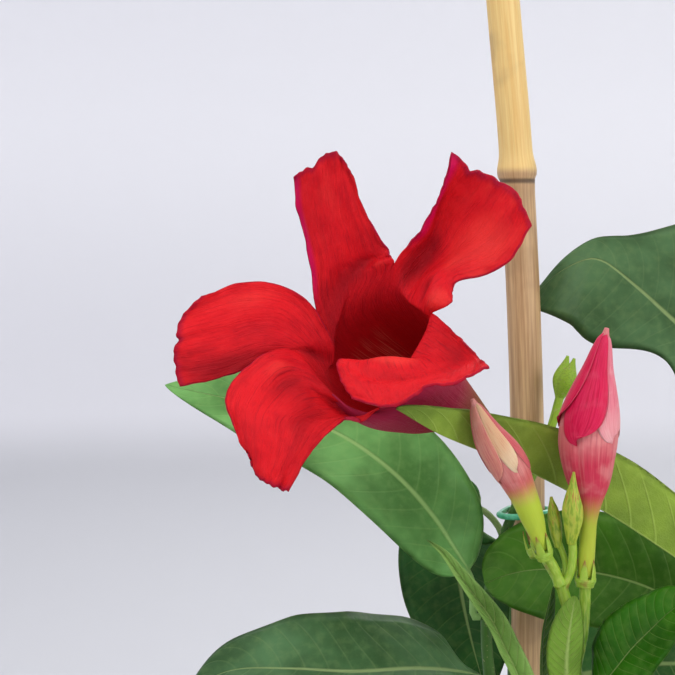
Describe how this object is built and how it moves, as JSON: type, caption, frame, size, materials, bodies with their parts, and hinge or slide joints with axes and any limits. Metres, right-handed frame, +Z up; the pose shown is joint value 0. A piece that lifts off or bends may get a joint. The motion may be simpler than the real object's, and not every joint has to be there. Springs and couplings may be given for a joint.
{
  "type": "potted climbing plant",
  "caption": "Young climbing plant with glossy oval leaves and a red trumpet flower with rolled buds, tied to a bamboo cane in a round clay pot.",
  "frame": {"origin": "middle of the pot's underside, on the surface that it stands on", "axes": "+Z up along the plant; -Y towards the side that the open flower looks to; +X to the right seen from that side"},
  "size_m": [0.2446, 0.1911, 0.5204],
  "materials": {
    "clay": "matte fired clay",
    "soil": "rough crumbs",
    "cane": "satin, streaked",
    "stem": "satin",
    "shoot": "satin",
    "leaf": "glossy above, matte below",
    "young_leaf": "satin",
    "petal": "soft satin",
    "cone": "matte",
    "bud": "satin",
    "bud_pale": "satin",
    "tie": "soft, slightly shiny"
  },
  "bodies": {
    "root": {"pot": "clay", "soil": "soil", "cane": "cane", "vine_main": "stem", "vine_back": "stem", "vine_right": "stem", "flower_shoot": "shoot", "corolla": "petal", "anther_cone": "cone", "bud_right": "bud", "bud_left": "bud_pale", "leaf_crossing": "leaf", "leaf_upper_right": "leaf", "leaf_left_large": "leaf", "leaf_bottom_left": "leaf", "leaf_hanging": "leaf", "leaf_behind_bunch": "leaf", "leaf_right_glossy": "leaf", "leaf_folded": "leaf", "leaf_01": "leaf", "leaf_02": "leaf", "leaf_03": "leaf", "leaf_04": "leaf", "leaf_05": "leaf", "leaf_06": "leaf", "leaf_07": "leaf", "leaf_08": "leaf", "leaf_09": "leaf", "leaf_10": "leaf", "leaf_11": "leaf", "leaf_12": "leaf", "leaf_13": "leaf", "leaf_14": "leaf", "leaf_15": "leaf", "leaf_16": "leaf", "leaf_17": "leaf", "leaf_18": "leaf", "leaf_young_front": "young_leaf", "leaf_young_side": "young_leaf", "tie_upper": "tie", "tie_lower": "tie"}
  },
  "joints": []
}
